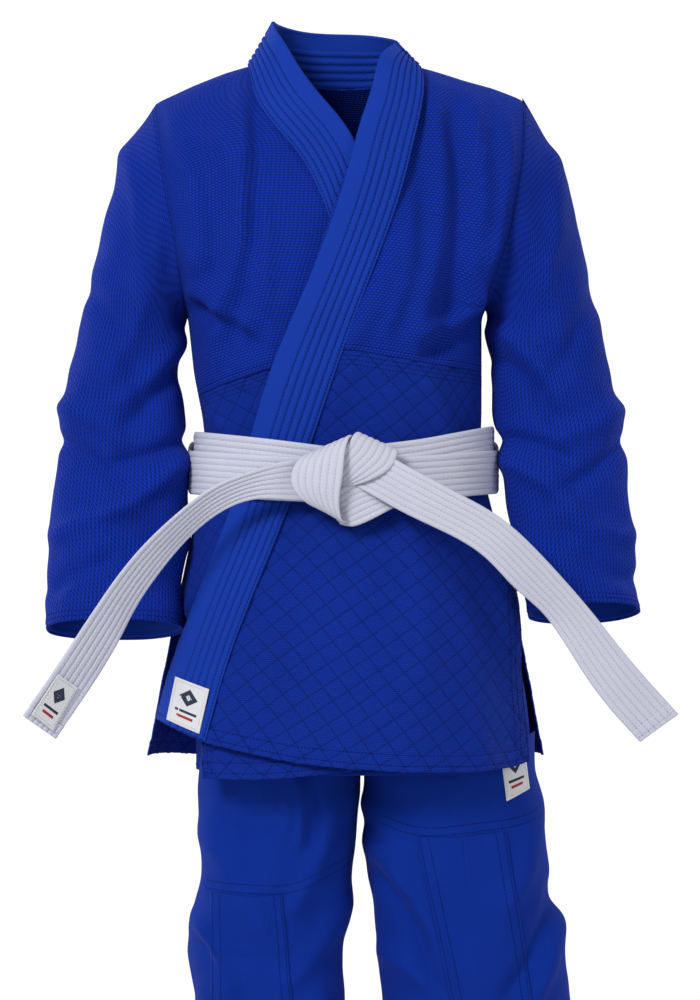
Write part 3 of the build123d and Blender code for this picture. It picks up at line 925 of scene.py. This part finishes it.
def waist_ring():
    turn = spread(0, 2 * math.pi, 241)[:-1][None, :]
    z = spread(-332, -372, 24)[:, None]
    cloth = Cloth(stack(1 + 119 * np.cos(turn), 82 * np.sin(turn), z), "ring")
    gathers = 0.9 * np.sin(turn * 46) * ease((-336 - z) / 12) * ease((z + 370) / 6)
    return cloth.push(gathers)


def leg(sections, creases, seed):
    """A trouser leg from sections of height, middle, half width, half depth and squareness."""
    turn = spread(0, 2 * math.pi, 145)[:-1]
    rings = []
    for z, x, half_width, half_depth, power in sections:
        c = np.sign(np.cos(turn)) * np.abs(np.cos(turn)) ** (2 / power)
        s = np.sign(np.sin(turn)) * np.abs(np.sin(turn)) ** (2 / power)
        rings.append(stack(x + half_width * c, half_depth * s, z + 0 * turn))
    cloth = Cloth(spline(rings, 300), "ring")
    points = cloth.points
    swell = LEG_FOLDS * folds(points, creases) * ease((30 - points[..., 1]) / 40)
    swell = swell + wobble(points, 70, 5.0, seed) + wobble(points, 26, 1.4, seed + 2)
    return cloth.push(swell + 0.6 * ease((-1035 - points[..., 2]) / 1.5))


RIGHT_LEG = [
    (-600, -58, 74, 88, 3.0), (-640, -59, 75, 86, 2.8), (-700, -60, 72, 79, 2.4), (-740, -63, 70, 76, 2.3),
    (-790, -71, 70, 72, 2.2), (-850, -67, 69, 69, 2.2), (-950, -73, 69, 65, 2.2), (-1060, -80, 70, 61, 2.2),
]
LEFT_LEG = [
    (-600, 98, 78, 88, 3.0), (-640, 99, 78, 86, 2.8), (-700, 106, 81, 79, 2.4), (-740, 110, 83, 76, 2.3),
    (-790, 118, 85, 73, 2.2), (-850, 126, 87, 70, 2.2), (-950, 137, 82, 67, 2.2), (-1060, 148, 78, 63, 2.2),
]
RIGHT_LEG_CREASES = [
    (-58, -625, -52, -692, 4, 3.6), (-48, -625, -40, -700, 5, 4.4), (-34, -625, -26, -700, 4, -3.6),
    (-10, -660, -46, -760, 10, 3.6), (-126, -690, -70, -780, 11, 3.6), (4, -750, -50, -826, 11, 4.0),
    (-134, -790, -90, -850, 9, -4.6), (-130, -770, -104, -840, 8, 5.0), (-20, -830, -44, -930, 12, 4.0),
    (-134, -860, -120, -960, 10, 4.0), (-84, -650, -92, -740, 14, -3.0),
]
LEFT_LEG_CREASES = [
    (24, -660, 60, -740, 10, 4.0), (30, -700, 96, -820, 9, 4.6), (36, -730, 86, -836, 8, -4.0),
    (180, -650, 150, -760, 11, 4.0), (196, -740, 150, -836, 9, -4.6), (202, -760, 170, -850, 8, 5.0),
    (40, -800, 110, -860, 10, 4.0), (120, -640, 124, -740, 18, -3.0), (190, -860, 160, -960, 12, 4.0),
]
right_leg = leg(RIGHT_LEG, RIGHT_LEG_CREASES, 51.3)
left_leg = leg(LEFT_LEG, LEFT_LEG_CREASES, 55.7)


# ---- patches and labels

def patch(finder, left, right, top, bottom, rows, columns, lift, away="front", middle=-800.0):
    """A cloth laid on another between two upright lines, given by height, under a top line."""
    across = spread(0, 1, columns)[None, :]
    down = spread(0, 1, rows)[:, None]
    z = np.full((rows, columns), middle)
    for _ in range(12):
        x = left(z) * (1 - across) + right(z) * across
        z = top(x) * (1 - down) + bottom * down
    return Cloth(finder(x, z, lift)[0], away)


def corner_grid(corners, rows, columns):
    """X and Z over a four-sided outline of the front view, from its upper left corner clockwise."""
    (x1, z1), (x2, z2), (x3, z3), (x4, z4) = corners
    u = spread(0, 1, columns)[None, :]
    v = spread(0, 1, rows)[:, None]
    x = (x1 * (1 - u) + x2 * u) * (1 - v) + (x4 * (1 - u) + x3 * u) * v
    z = (z1 * (1 - u) + z2 * u) * (1 - v) + (z4 * (1 - u) + z3 * u) * v
    return x, z


def label(name, finder, corners, lift):
    """A woven label with a stitched border and a plain mark: a diamond over two bars."""
    x, z = corner_grid(corners, 26, 22)
    found = finder(x, z)[0]
    terms = np.stack([x ** 0, x, z, x * x, x * z, z * z], axis=-1).reshape(-1, 6)
    flat_fit = np.linalg.lstsq(terms, found[..., 1].ravel(), rcond=None)[0]
    flat_y = np.minimum((terms @ flat_fit).reshape(x.shape), found[..., 1] + 0.5)
    ground = Cloth(stack(x, flat_y - lift, z), "front")
    piece = mesh_of(name, ground, label_cloth, LABEL)

    def at(u, v, height=0.12):
        r = np.clip(v * 25, 0, 25)
        c = np.clip(u * 21, 0, 21)
        r0, c0 = np.minimum(r.astype(int), 24), np.minimum(c.astype(int), 20)
        dr, dc = (r - r0)[..., None], (c - c0)[..., None]
        p = ground.points
        flat = (p[r0, c0] * (1 - dr) * (1 - dc) + p[r0 + 1, c0] * dr * (1 - dc)
                + p[r0, c0 + 1] * (1 - dr) * dc + p[r0 + 1, c0 + 1] * dr * dc)
        return flat + ground.out[r0, c0] * height

    def mark(u, v, material):
        join(piece, mesh_of("mark", Cloth(at(u, v), "front"), material, 0.1))

    down = spread(0, 1, 9)[:, None]
    along = spread(-1, 1, 9)[None, :]
    reach = 1 - np.abs(2 * down - 1)
    mark(0.5 + 0.27 * reach * along + 0 * down, 0.16 + 0.38 * down + 0 * along, label_dark)
    mark(0.5 + 0.10 * reach * along + 0 * down, 0.28 + 0.14 * down + 0 * along, label_cloth)
    for top, half, material in ((0.64, 0.32, label_dark), (0.76, 0.24, label_red)):
        mark(0.5 + half * along + 0 * down, top + 0.055 * down + 0 * along, material)
    edge = []
    for (u1, v1), (u2, v2) in (((.07, .06), (.93, .06)), ((.93, .06), (.93, .94)), ((.93, .94), (.07, .94)),
                               ((.07, .94), (.07, .06))):
        u, v = spread(u1, u2, 30), spread(v1, v2, 30)
        edge.append(stitch(at(u, v, 0.0), ground.out[12, 10] + np.zeros((30, 3)), 0.16, 2.0))
    sew(piece, edge, label_dark)
    return piece


def lining(way, inner, outer):
    """A facing behind a shoulder, from the front over the seam to the back."""
    t = spread(-1, 1, 60)[:, None]
    x = spread(inner, outer, 40)[None, :] * way
    z = shoulder_line(x) - 1 - 74 * np.abs(t) ** 1.5
    cloth = Cloth(stack(x, np.sign(t) * body_depth(x, z), z), "body")
    cloth.points = cloth.points * (1, 0.92, 1) - (0, 0, 6.0)
    return cloth


# ---- pieces

def add(made, nodes, body="jacket", bend=None):
    """Puts a piece on its body, or, when a bend is given, bakes its transform into its mesh.
    flat, the rectangle it is cut from, and cut, the share of it that the cut keeps, are not used."""
    if bend:
        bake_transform(made)
    else:
        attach(made, body)
    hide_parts(*nodes)


def column_rows(cloth, columns, low=0.0, high=1.0, radius=THREAD):
    """Stitches down a cloth at those places across it."""
    found = []
    for column in columns:
        path, out = cloth.line(column=column)
        first, last = int(low * (len(path) - 1)), int(high * (len(path) - 1)) + 1
        found.append(stitch(path[first:last], out[first:last], radius))
    return found


def row_rows(cloth, rows, radius=THREAD, pitch=STITCH):
    """Stitches across a cloth at those places down it."""
    found = []
    for row in rows:
        path, out = cloth.line(row=row)
        if cloth.closed:
            path, out = (np.concatenate([line, line[:1]]) for line in (path, out))
        found.append(stitch(path, out, radius, pitch))
    return found


right_front = Finder(jacket_right_front)
left_front = Finder(jacket_left_front)

piece = mesh_of("right_front", jacket_right_front, grain_weave, CLOTH)
YOKE_LINE = [(-128, -40), (-124, -80), (-113, -116), (-79, -172), (-56, -206)]
sew(piece, [stitch_line(right_front, YOKE_LINE, aside, 0.24) for aside in (0, 7.5)], light_thread)
sew(piece, row_rows(jacket_right_front, (0.985,), 0.26), thread)
add(piece, ["jacket_right_front"])

piece = mesh_of("left_front", jacket_left_front, grain_weave, CLOTH)
LEFT_YOKE = [(124, -40), (119, -80), (106, -116), (92, -150)]
sew(piece, [stitch_line(left_front, LEFT_YOKE, aside, 0.24) for aside in (0, 7.5)], light_thread)
sew(piece, row_rows(jacket_left_front, (0.985,), 0.26), thread)
add(piece, ["jacket_left_front"])

piece = mesh_of("chest_back", jacket_back, grain_weave, CLOTH)
sew(piece, row_rows(jacket_back, (0.03, 0.985)), thread)
add(piece, ["jacket_back"])

for side, way, reach in (("right", -1, 156), ("left", 1, 150)):
    piece = mesh_of(f"shoulder_facing_{side}", lining(way, 88, reach), drill, 1.2)
    add(piece, [f"shoulder_lining_{side}"])

for name, cloth, node_name, vent_rows, flat, cut in (
    ("skirt_front_left", skirt_left_front, "skirt_left_front", (0.878, 0.835), (0.38, 0.38), 0.85),
    ("skirt_front_right", skirt_right_front, "skirt_right_front", (0.88, 0.84), (0.34, 0.38), 0.85),
    ("skirt_panel_back", skirt_back, "skirt_back", (0.06, 0.09, 0.91, 0.94), (0.54, 0.38), 0.9),
):
    piece = mesh_of(name, cloth, pebble_weave, CLOTH)
    seams = row_rows(cloth, (0.010, 0.021, 0.032), 0.26) + row_rows(cloth, (1 - 5 / 350, 1 - HEM / 350))
    sew(piece, seams + column_rows(cloth, vent_rows, 0.56), thread)
    add(piece, [node_name])

back_finder = Finder(skirt_back, front=False)
for side, low, high in (("right", -138, -112), ("left", 116, 142)):
    edges = [lambda z, x=x: x + 0 * z for x in (low, high)]
    cloth = patch(back_finder, *edges, lambda x: VENT + 24 + 0 * x, VENT - 6, 24, 20, 1.7, "body", VENT)
    piece = mesh_of(f"vent_stay_{side}", cloth, drill, 1.0)
    sew(piece, column_rows(cloth, (0.12, 0.88), 0.06, 0.94, 0.24) + row_rows(cloth, (0.1, 0.9), 0.24), thread)
    add(piece, [f"vent_patch_{side}"])

for name, cloth, node_name, length in (
    ("lapel_band_left", left_lapel, "lapel_left", 0.72),
    ("lapel_band_right", right_lapel, "lapel_right", 0.75),
    ("collar_stand", collar, "collar_back", 0.20),
):
    piece = mesh_of(name, cloth, band_twill, BAND)
    ends = [] if name == "collar_stand" else row_rows(cloth, (0.008,))
    sew(piece, column_rows(cloth, BAND_ROWS, 0.004, 1.0, 0.36) + ends, thread)
    add(piece, [node_name])

# Each sleeve is one tube from the armhole to the cuff.
for side, cloth, x, top in (("right", sleeve_right, -0.196, -0.214), ("left", sleeve_left, 0.190, -0.206)):
    bend = (f"sleeve_{side}", (x, -0.005, top), (x - 0.004, -0.005, top - 0.135))
    piece = mesh_of(f"sleeve_tube_{side}", cloth, sleeve_weave, CLOTH)
    sew(piece, row_rows(cloth, (0.008, 0.974, 0.987)), thread)
    add(piece, [f"sleeve_cap_{side}", f"sleeve_{side}"], bend=bend)
    piece = mesh_of(f"cuff_lining_{side}", lining_of(cloth, 182), band_twill, 1.2)
    add(piece, [f"cuff_facing_{side}"], body=f"sleeve_{side}")

STRAP_ROWS = tuple(k / RIDGES for k in range(1, RIDGES))
for name, cloth, node_name in (("belt_wrap_inner", inner_wrap, "belt_inner_wrap"),
                               ("belt_wrap_outer", outer_wrap, "belt_outer_wrap")):
    piece = mesh_of(name, cloth, strap_white, STRAP)
    sew(piece, row_rows(cloth, STRAP_ROWS, 0.26, PUCKER), shaded_white_thread)
    add(piece, [node_name])

HALF_WAY = ((-0.048, -0.128, -0.369), (-0.090, -0.130, -0.380))
for name, cloth, node_name, length, bend in (
    ("knot_strand_front", knot_front, "knot_front_strand", 0.095, None),
    ("knot_strand_upper", knot_upper, "knot_upper_strand", 0.070, None),
    ("knot_strand_lower", knot_lower, "knot_lower_strand", 0.070, None),
    ("tail_strap_right", tail_right, "belt_tail_right", 0.33, ("tail_right", *HALF_WAY)),
    ("tail_strap_left", tail_left, "belt_tail_left", 0.34,
     ("tail_left", (0.050, -0.128, -0.376), (0.090, -0.130, -0.395))),
):
    piece = mesh_of(name, cloth, strap_white, STRAP)
    rows = column_rows(cloth, STRAP_ROWS, 0.0, 1.0, 0.26)
    if bend:
        rows += row_rows(cloth, (0.965, 0.988), 0.26)
    sew(piece, rows, shaded_white_thread)
    add(piece, [node_name], bend=bend)

# Trousers: seat, waistband and gusset, then the legs.
for side, way in (("right", -1), ("left", 1)):
    cloth = seat(way)
    piece = mesh_of(f"trouser_top_{side}", cloth, drill, CLOTH)
    sew(piece, column_rows(cloth, (0.015, 0.985)) + row_rows(cloth, (0.02, 0.985)), thread)
    add(piece, [f"trouser_seat_{side}"])
cloth = waist_ring()
piece = mesh_of("waist_casing", cloth, drill, 2.4)
sew(piece, row_rows(cloth, (0.08, 0.92)), thread)
add(piece, ["waistband"])
u = spread(-1, 1, 30)[:, None]
v = spread(-1, 1, 30)[None, :]
sag = 8 * (1 - u * u) * (1 - v * v)
gusset = Cloth(stack(CENTRE_SEAM + 24 * (u + v) / 2, 84 * (u - v) / 2, -630 - sag), "front")
piece = mesh_of("gusset", gusset, drill, CLOTH)
add(piece, ["crotch_gusset"])

right_leg_finder = Finder(right_leg)
left_leg_finder = Finder(left_leg)
KNEE_ROWS = 7.3      # between the two stitch rows of a seam
LEG_SEAMS = {
    "right": (right_leg, right_leg_finder, -0.070,
              [(-124, -733), (-79, -735), (-42, -733), (-19, -723), (6, -712)],
              smooth_table([(-735, -119), (-841, -119), (-935, -121)]),
              smooth_table([(-735, -55), (-841, -45), (-935, -36)])),
    "left": (left_leg, left_leg_finder, 0.118,
             [(38, -673), (62, -681), (102, -681), (140, -677), (168, -672), (180, -667)],
             smooth_table([(-683, 66), (-841, 99), (-935, 112)]),
             smooth_table([(-683, 148), (-841, 173), (-935, 183)])),
}
PATCH_FOOT = -935.0
for side, (cloth, finder, x, seam, left_line, right_line) in LEG_SEAMS.items():
    bend = (f"shin_{side}", (x, 0.0, -0.735), (x, 0.0, -0.845))
    piece = mesh_of(f"trouser_leg_{side}", cloth, drill, CLOTH)
    rows = [stitch_line(finder, seam, aside) for aside in (0, -KNEE_ROWS)]
    sew(piece, rows + row_rows(cloth, (0.935, 0.99)), thread)
    add(piece, [f"trouser_thigh_{side}", f"trouser_shin_{side}"],
        bend=bend)
    top = smooth_table([(px, pz - KNEE_ROWS - 3) for px, pz in seam], 10)
    knee = patch(finder, left_line, right_line, top, PATCH_FOOT, 120, 60, 1.5)
    piece = mesh_of(f"knee_reinforcement_{side}", knee, drill, 1.2)
    seams = column_rows(knee, (0.03, 0.13, 0.88, 0.97), 0.005, 0.99) + row_rows(knee, (0.97, 0.99))
    sew(piece, seams, thread)
    add(piece, [f"knee_patch_thigh_{side}", f"knee_patch_shin_{side}"],
        bend=bend)
    piece = mesh_of(f"hem_lining_{side}", lining_of(cloth, 281), drill, 1.2)
    add(piece, [f"leg_hem_{side}"], body=f"shin_{side}")

LABELS = {
    "label_lapel": (
        Finder(left_lapel), "lapel_label", 1.7, "jacket",
        [(-151, -546), (-119, -556), (-128, -596), (-159, -585)]),
    "label_belt": (
        Finder(tail_right), "belt_label", 1.6, "tail_right",
        [(-252, -541), (-235, -554), (-258, -593), (-276, -577)]),
    "label_trousers": (
        left_leg_finder, "trouser_label", 1.4, "jacket",
        [(143, -612), (166, -610), (171, -649), (149, -659)]),
}
for name, (finder, node_name, lift, body, corners) in LABELS.items():
    piece = label(name, finder, corners, lift)
    add(piece, [node_name], body=body)


# ---- camera, light and floor

def area_light(name, place, aim, size, power):
    data = bpy.data.lights.new(name, "AREA")
    data.shape = "DISK"
    data.size = size
    data.energy = power
    light = bpy.data.objects.new(name, data)
    bpy.context.scene.collection.objects.link(light)
    light.location = place
    light.rotation_euler = (Vector(aim) - Vector(place)).to_track_quat("-Z", "Y").to_euler()


FRAME_HEIGHT = 0.909
DISTANCE = 3.2
camera_data = bpy.data.cameras.new("camera")
camera_data.sensor_fit = "VERTICAL"
camera_data.sensor_height = 36.0
camera_data.lens = 36.0 * DISTANCE / FRAME_HEIGHT
camera = bpy.data.objects.new("camera", camera_data)
bpy.context.scene.collection.objects.link(camera)
camera.location = (0.0073, -0.06 - DISTANCE, -0.3864)
camera.rotation_euler = (math.pi / 2, 0, 0)
bpy.context.scene.camera = camera

bpy.context.scene.view_settings.view_transform = "Standard"
world = bpy.data.worlds.new("studio")
bpy.context.scene.world = world
world.use_nodes = True
tree = world.node_tree
background = tree.nodes["Background"]
background.inputs["Color"].default_value = (1, 1, 1, 1)
seen = tree.nodes.new("ShaderNodeLightPath")
AMBIENT = 0.36
BACKDROP = 1.05
tree.links.new(math_node("ADD", AMBIENT, math_node("MULTIPLY", seen.outputs["Is Camera Ray"],
                                                         BACKDROP - AMBIENT)), background.inputs["Strength"])
area_light("key", (-1.5, -2.4, 1.2), (0, 0, -0.4), 1.0, 70)
area_light("fill", (2.2, -1.8, 0.4), (0, 0, -0.4), 1.4, 15)
area_light("rim_left", (-1.8, 1.4, 0.4), (0, 0, -0.4), 1.2, 26)
area_light("rim_right", (1.8, 1.4, 0.4), (0, 0, -0.4), 1.2, 22)

FLOOR_RADIUS = 1.3
turns = spread(0, 2 * math.pi, 97)[:-1]
floor_mesh = bpy.data.meshes.new("floor")
floor_mesh.from_pydata([(FLOOR_RADIUS * math.cos(t), FLOOR_RADIUS * math.sin(t), 0) for t in turns], [],
                       [tuple(range(len(turns)))])
floor = bpy.data.objects.new("floor", floor_mesh)
bpy.context.scene.collection.objects.link(floor)
floor.location = (0, 0, cad_box[0][2] - 0.002)
